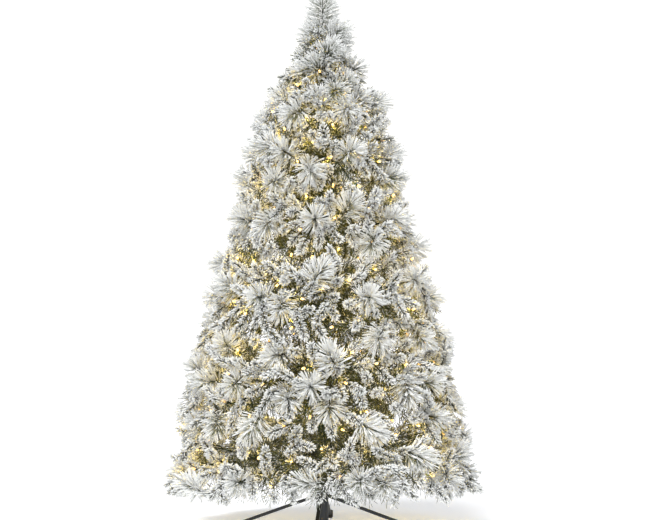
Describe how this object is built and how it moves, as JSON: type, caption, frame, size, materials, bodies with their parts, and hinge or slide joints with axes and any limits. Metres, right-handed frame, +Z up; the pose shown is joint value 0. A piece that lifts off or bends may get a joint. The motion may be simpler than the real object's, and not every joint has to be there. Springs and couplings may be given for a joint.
{
  "type": "artificial Christmas tree",
  "caption": "Flocked, pre-lit hinged artificial tree in a slim cone shape on a folding cross-legged steel stand with a trunk of plug-together tubes.",
  "frame": {"origin": "on the floor under the trunk's axis", "axes": "+Z up along the trunk, +X along one leg of the lower leg pair, +Y along one leg of the upper pair; the front is -Y"},
  "size_m": [1.0092, 0.933, 1.8002],
  "materials": {
    "flocked_needles": "green PVC needles under white flocking, matt and rough",
    "stand_steel": "charcoal powder coat, satin",
    "trunk_steel": "dark green powder coat, satin",
    "collar_plastic": "moulded dark green plastic, matt",
    "lead_plastic": "dark green PVC cable and plugs, satin",
    "foot_rubber": "black, matt",
    "bolt_zinc": "zinc plated"
  },
  "bodies": {
    "stand": {"stand_lower_legs": "stand_steel", "foot_1": "foot_rubber", "foot_3": "foot_rubber"},
    "upper_leg_pair": {"stand_upper_legs": "stand_steel", "foot_2": "foot_rubber", "foot_4": "foot_rubber"},
    "eye_bolt_1": {"eye_bolt_1": "bolt_zinc"},
    "eye_bolt_2": {"eye_bolt_2": "bolt_zinc"},
    "eye_bolt_3": {"eye_bolt_3": "bolt_zinc"},
    "lower_section": {"lower_pole": "trunk_steel", "trunk_foot_plug": "collar_plastic", "collar_1": "collar_plastic", "collar_2": "collar_plastic", "lower_light_lead": "lead_plastic"},
    "middle_section": {"middle_pole": "trunk_steel", "collar_3": "collar_plastic", "collar_4": "collar_plastic", "middle_light_lead": "lead_plastic"},
    "upper_section": {"upper_pole": "trunk_steel", "collar_5": "collar_plastic", "collar_6": "collar_plastic", "top_plug": "collar_plastic", "leader": "flocked_needles", "upper_light_lead": "lead_plastic"},
    "branch_1_1": {"branch_1_1": "flocked_needles"},
    "branch_1_2": {"branch_1_2": "flocked_needles"},
    "branch_1_3": {"branch_1_3": "flocked_needles"},
    "branch_1_4": {"branch_1_4": "flocked_needles"},
    "branch_1_5": {"branch_1_5": "flocked_needles"},
    "branch_1_6": {"branch_1_6": "flocked_needles"},
    "branch_2_1": {"branch_2_1": "flocked_needles"},
    "branch_2_2": {"branch_2_2": "flocked_needles"},
    "branch_2_3": {"branch_2_3": "flocked_needles"},
    "branch_2_4": {"branch_2_4": "flocked_needles"},
    "branch_2_5": {"branch_2_5": "flocked_needles"},
    "branch_2_6": {"branch_2_6": "flocked_needles"},
    "branch_3_1": {"branch_3_1": "flocked_needles"},
    "branch_3_2": {"branch_3_2": "flocked_needles"},
    "branch_3_3": {"branch_3_3": "flocked_needles"},
    "branch_3_4": {"branch_3_4": "flocked_needles"},
    "branch_3_5": {"branch_3_5": "flocked_needles"},
    "branch_3_6": {"branch_3_6": "flocked_needles"},
    "branch_4_1": {"branch_4_1": "flocked_needles"},
    "branch_4_2": {"branch_4_2": "flocked_needles"},
    "branch_4_3": {"branch_4_3": "flocked_needles"},
    "branch_4_4": {"branch_4_4": "flocked_needles"},
    "branch_4_5": {"branch_4_5": "flocked_needles"},
    "branch_4_6": {"branch_4_6": "flocked_needles"},
    "branch_5_1": {"branch_5_1": "flocked_needles"},
    "branch_5_2": {"branch_5_2": "flocked_needles"},
    "branch_5_3": {"branch_5_3": "flocked_needles"},
    "branch_5_4": {"branch_5_4": "flocked_needles"},
    "branch_5_5": {"branch_5_5": "flocked_needles"},
    "branch_5_6": {"branch_5_6": "flocked_needles"},
    "branch_6_1": {"branch_6_1": "flocked_needles"},
    "branch_6_2": {"branch_6_2": "flocked_needles"},
    "branch_6_3": {"branch_6_3": "flocked_needles"},
    "branch_6_4": {"branch_6_4": "flocked_needles"},
    "branch_6_5": {"branch_6_5": "flocked_needles"},
    "branch_6_6": {"branch_6_6": "flocked_needles"}
  },
  "joints": [
    {"name": "stand_fold", "type": "hinge", "parent": "stand", "child": "upper_leg_pair", "pos_m": [0, 0, 0.124], "axis": [0, 0, 1], "range_deg": [0, 83]},
    {"name": "trunk_lift", "type": "slide", "parent": "stand", "child": "lower_section", "axis": [0, 0, 1], "range_m": [0, 0.18]},
    {"name": "middle_lift", "type": "slide", "parent": "lower_section", "child": "middle_section", "axis": [0, 0, 1], "range_m": [0, 0.08]},
    {"name": "upper_lift", "type": "slide", "parent": "middle_section", "child": "upper_section", "axis": [0, 0, 1], "range_m": [0, 0.08]},
    {"name": "eye_bolt_1_screw", "type": "slide", "parent": "upper_leg_pair", "child": "eye_bolt_1", "axis": [1, 0, 0], "range_m": [0, 0.012]},
    {"name": "eye_bolt_2_screw", "type": "slide", "parent": "upper_leg_pair", "child": "eye_bolt_2", "axis": [-0.5, 0.866, 0], "range_m": [0, 0.012]},
    {"name": "eye_bolt_3_screw", "type": "slide", "parent": "upper_leg_pair", "child": "eye_bolt_3", "axis": [-0.5, -0.866, 0], "range_m": [0, 0.012]},
    {"name": "branch_1_1_fold", "type": "hinge", "parent": "lower_section", "child": "branch_1_1", "pos_m": [0.024, 0, 0.2616], "axis": [0, -1, 0], "range_deg": [0, 78]},
    {"name": "branch_1_2_fold", "type": "hinge", "parent": "lower_section", "child": "branch_1_2", "pos_m": [0.012, 0.02078, 0.2616], "axis": [0.866, -0.5, 0], "range_deg": [0, 78]},
    {"name": "branch_1_3_fold", "type": "hinge", "parent": "lower_section", "child": "branch_1_3", "pos_m": [-0.012, 0.02078, 0.2616], "axis": [0.866, 0.5, 0], "range_deg": [0, 78]},
    {"name": "branch_1_4_fold", "type": "hinge", "parent": "lower_section", "child": "branch_1_4", "pos_m": [-0.024, 0, 0.2616], "axis": [0, 1, 0], "range_deg": [0, 78]},
    {"name": "branch_1_5_fold", "type": "hinge", "parent": "lower_section", "child": "branch_1_5", "pos_m": [-0.012, -0.02078, 0.2616], "axis": [-0.866, 0.5, 0], "range_deg": [0, 78]},
    {"name": "branch_1_6_fold", "type": "hinge", "parent": "lower_section", "child": "branch_1_6", "pos_m": [0.012, -0.02078, 0.2616], "axis": [-0.866, -0.5, 0], "range_deg": [0, 78]},
    {"name": "branch_2_1_fold", "type": "hinge", "parent": "lower_section", "child": "branch_2_1", "pos_m": [0.02078, 0.012, 0.5016], "axis": [0.5, -0.866, 0], "range_deg": [0, 70]},
    {"name": "branch_2_2_fold", "type": "hinge", "parent": "lower_section", "child": "branch_2_2", "pos_m": [0, 0.024, 0.5016], "axis": [1, 0, 0], "range_deg": [0, 70]},
    {"name": "branch_2_3_fold", "type": "hinge", "parent": "lower_section", "child": "branch_2_3", "pos_m": [-0.02078, 0.012, 0.5016], "axis": [0.5, 0.866, 0], "range_deg": [0, 70]},
    {"name": "branch_2_4_fold", "type": "hinge", "parent": "lower_section", "child": "branch_2_4", "pos_m": [-0.02078, -0.012, 0.5016], "axis": [-0.5, 0.866, 0], "range_deg": [0, 70]},
    {"name": "branch_2_5_fold", "type": "hinge", "parent": "lower_section", "child": "branch_2_5", "pos_m": [0, -0.024, 0.5016], "axis": [-1, 0, 0], "range_deg": [0, 70]},
    {"name": "branch_2_6_fold", "type": "hinge", "parent": "lower_section", "child": "branch_2_6", "pos_m": [0.02078, -0.012, 0.5016], "axis": [-0.5, -0.866, 0], "range_deg": [0, 70]},
    {"name": "branch_3_1_fold", "type": "hinge", "parent": "middle_section", "child": "branch_3_1", "pos_m": [0.024, 0, 0.7419], "axis": [0, -1, 0], "range_deg": [0, 64]},
    {"name": "branch_3_2_fold", "type": "hinge", "parent": "middle_section", "child": "branch_3_2", "pos_m": [0.012, 0.02078, 0.7419], "axis": [0.866, -0.5, 0], "range_deg": [0, 64]},
    {"name": "branch_3_3_fold", "type": "hinge", "parent": "middle_section", "child": "branch_3_3", "pos_m": [-0.012, 0.02078, 0.7419], "axis": [0.866, 0.5, 0], "range_deg": [0, 64]},
    {"name": "branch_3_4_fold", "type": "hinge", "parent": "middle_section", "child": "branch_3_4", "pos_m": [-0.024, 0, 0.7419], "axis": [0, 1, 0], "range_deg": [0, 64]},
    {"name": "branch_3_5_fold", "type": "hinge", "parent": "middle_section", "child": "branch_3_5", "pos_m": [-0.012, -0.02078, 0.7419], "axis": [-0.866, 0.5, 0], "range_deg": [0, 64]},
    {"name": "branch_3_6_fold", "type": "hinge", "parent": "middle_section", "child": "branch_3_6", "pos_m": [0.012, -0.02078, 0.7419], "axis": [-0.866, -0.5, 0], "range_deg": [0, 64]},
    {"name": "branch_4_1_fold", "type": "hinge", "parent": "middle_section", "child": "branch_4_1", "pos_m": [0.02078, 0.012, 0.9719], "axis": [0.5, -0.866, 0], "range_deg": [0, 58]},
    {"name": "branch_4_2_fold", "type": "hinge", "parent": "middle_section", "child": "branch_4_2", "pos_m": [0, 0.024, 0.9719], "axis": [1, 0, 0], "range_deg": [0, 58]},
    {"name": "branch_4_3_fold", "type": "hinge", "parent": "middle_section", "child": "branch_4_3", "pos_m": [-0.02078, 0.012, 0.9719], "axis": [0.5, 0.866, 0], "range_deg": [0, 58]},
    {"name": "branch_4_4_fold", "type": "hinge", "parent": "middle_section", "child": "branch_4_4", "pos_m": [-0.02078, -0.012, 0.9719], "axis": [-0.5, 0.866, 0], "range_deg": [0, 58]},
    {"name": "branch_4_5_fold", "type": "hinge", "parent": "middle_section", "child": "branch_4_5", "pos_m": [0, -0.024, 0.9719], "axis": [-1, 0, 0], "range_deg": [0, 58]},
    {"name": "branch_4_6_fold", "type": "hinge", "parent": "middle_section", "child": "branch_4_6", "pos_m": [0.02078, -0.012, 0.9719], "axis": [-0.5, -0.866, 0], "range_deg": [0, 58]},
    {"name": "branch_5_1_fold", "type": "hinge", "parent": "upper_section", "child": "branch_5_1", "pos_m": [0.024, 0, 1.1822], "axis": [0, -1, 0], "range_deg": [0, 52]},
    {"name": "branch_5_2_fold", "type": "hinge", "parent": "upper_section", "child": "branch_5_2", "pos_m": [0.012, 0.02078, 1.1822], "axis": [0.866, -0.5, 0], "range_deg": [0, 52]},
    {"name": "branch_5_3_fold", "type": "hinge", "parent": "upper_section", "child": "branch_5_3", "pos_m": [-0.012, 0.02078, 1.1822], "axis": [0.866, 0.5, 0], "range_deg": [0, 52]},
    {"name": "branch_5_4_fold", "type": "hinge", "parent": "upper_section", "child": "branch_5_4", "pos_m": [-0.024, 0, 1.1822], "axis": [0, 1, 0], "range_deg": [0, 52]},
    {"name": "branch_5_5_fold", "type": "hinge", "parent": "upper_section", "child": "branch_5_5", "pos_m": [-0.012, -0.02078, 1.1822], "axis": [-0.866, 0.5, 0], "range_deg": [0, 52]},
    {"name": "branch_5_6_fold", "type": "hinge", "parent": "upper_section", "child": "branch_5_6", "pos_m": [0.012, -0.02078, 1.1822], "axis": [-0.866, -0.5, 0], "range_deg": [0, 52]},
    {"name": "branch_6_1_fold", "type": "hinge", "parent": "upper_section", "child": "branch_6_1", "pos_m": [0.02078, 0.012, 1.3622], "axis": [0.5, -0.866, 0], "range_deg": [0, 44]},
    {"name": "branch_6_2_fold", "type": "hinge", "parent": "upper_section", "child": "branch_6_2", "pos_m": [0, 0.024, 1.3622], "axis": [1, 0, 0], "range_deg": [0, 44]},
    {"name": "branch_6_3_fold", "type": "hinge", "parent": "upper_section", "child": "branch_6_3", "pos_m": [-0.02078, 0.012, 1.3622], "axis": [0.5, 0.866, 0], "range_deg": [0, 44]},
    {"name": "branch_6_4_fold", "type": "hinge", "parent": "upper_section", "child": "branch_6_4", "pos_m": [-0.02078, -0.012, 1.3622], "axis": [-0.5, 0.866, 0], "range_deg": [0, 44]},
    {"name": "branch_6_5_fold", "type": "hinge", "parent": "upper_section", "child": "branch_6_5", "pos_m": [0, -0.024, 1.3622], "axis": [-1, 0, 0], "range_deg": [0, 44]},
    {"name": "branch_6_6_fold", "type": "hinge", "parent": "upper_section", "child": "branch_6_6", "pos_m": [0.02078, -0.012, 1.3622], "axis": [-0.5, -0.866, 0], "range_deg": [0, 44]}
  ],
  "couplings": [
    {"joint": "branch_1_2_fold", "follows": "branch_1_1_fold", "ratio": 1},
    {"joint": "branch_1_3_fold", "follows": "branch_1_1_fold", "ratio": 1},
    {"joint": "branch_1_4_fold", "follows": "branch_1_1_fold", "ratio": 1},
    {"joint": "branch_1_5_fold", "follows": "branch_1_1_fold", "ratio": 1},
    {"joint": "branch_1_6_fold", "follows": "branch_1_1_fold", "ratio": 1},
    {"joint": "branch_2_1_fold", "follows": "branch_1_1_fold", "ratio": 0.89743},
    {"joint": "branch_2_2_fold", "follows": "branch_1_1_fold", "ratio": 0.89743},
    {"joint": "branch_2_3_fold", "follows": "branch_1_1_fold", "ratio": 0.89743},
    {"joint": "branch_2_4_fold", "follows": "branch_1_1_fold", "ratio": 0.89743},
    {"joint": "branch_2_5_fold", "follows": "branch_1_1_fold", "ratio": 0.89743},
    {"joint": "branch_2_6_fold", "follows": "branch_1_1_fold", "ratio": 0.89743},
    {"joint": "branch_3_1_fold", "follows": "branch_1_1_fold", "ratio": 0.82051},
    {"joint": "branch_3_2_fold", "follows": "branch_1_1_fold", "ratio": 0.82051},
    {"joint": "branch_3_3_fold", "follows": "branch_1_1_fold", "ratio": 0.82051},
    {"joint": "branch_3_4_fold", "follows": "branch_1_1_fold", "ratio": 0.82051},
    {"joint": "branch_3_5_fold", "follows": "branch_1_1_fold", "ratio": 0.82051},
    {"joint": "branch_3_6_fold", "follows": "branch_1_1_fold", "ratio": 0.82051},
    {"joint": "branch_4_1_fold", "follows": "branch_1_1_fold", "ratio": 0.74358},
    {"joint": "branch_4_2_fold", "follows": "branch_1_1_fold", "ratio": 0.74358},
    {"joint": "branch_4_3_fold", "follows": "branch_1_1_fold", "ratio": 0.74358},
    {"joint": "branch_4_4_fold", "follows": "branch_1_1_fold", "ratio": 0.74358},
    {"joint": "branch_4_5_fold", "follows": "branch_1_1_fold", "ratio": 0.74358},
    {"joint": "branch_4_6_fold", "follows": "branch_1_1_fold", "ratio": 0.74358},
    {"joint": "branch_5_1_fold", "follows": "branch_1_1_fold", "ratio": 0.66666},
    {"joint": "branch_5_2_fold", "follows": "branch_1_1_fold", "ratio": 0.66666},
    {"joint": "branch_5_3_fold", "follows": "branch_1_1_fold", "ratio": 0.66666},
    {"joint": "branch_5_4_fold", "follows": "branch_1_1_fold", "ratio": 0.66666},
    {"joint": "branch_5_5_fold", "follows": "branch_1_1_fold", "ratio": 0.66666},
    {"joint": "branch_5_6_fold", "follows": "branch_1_1_fold", "ratio": 0.66666},
    {"joint": "branch_6_1_fold", "follows": "branch_1_1_fold", "ratio": 0.5641},
    {"joint": "branch_6_2_fold", "follows": "branch_1_1_fold", "ratio": 0.5641},
    {"joint": "branch_6_3_fold", "follows": "branch_1_1_fold", "ratio": 0.5641},
    {"joint": "branch_6_4_fold", "follows": "branch_1_1_fold", "ratio": 0.5641},
    {"joint": "branch_6_5_fold", "follows": "branch_1_1_fold", "ratio": 0.5641},
    {"joint": "branch_6_6_fold", "follows": "branch_1_1_fold", "ratio": 0.5641}
  ]
}
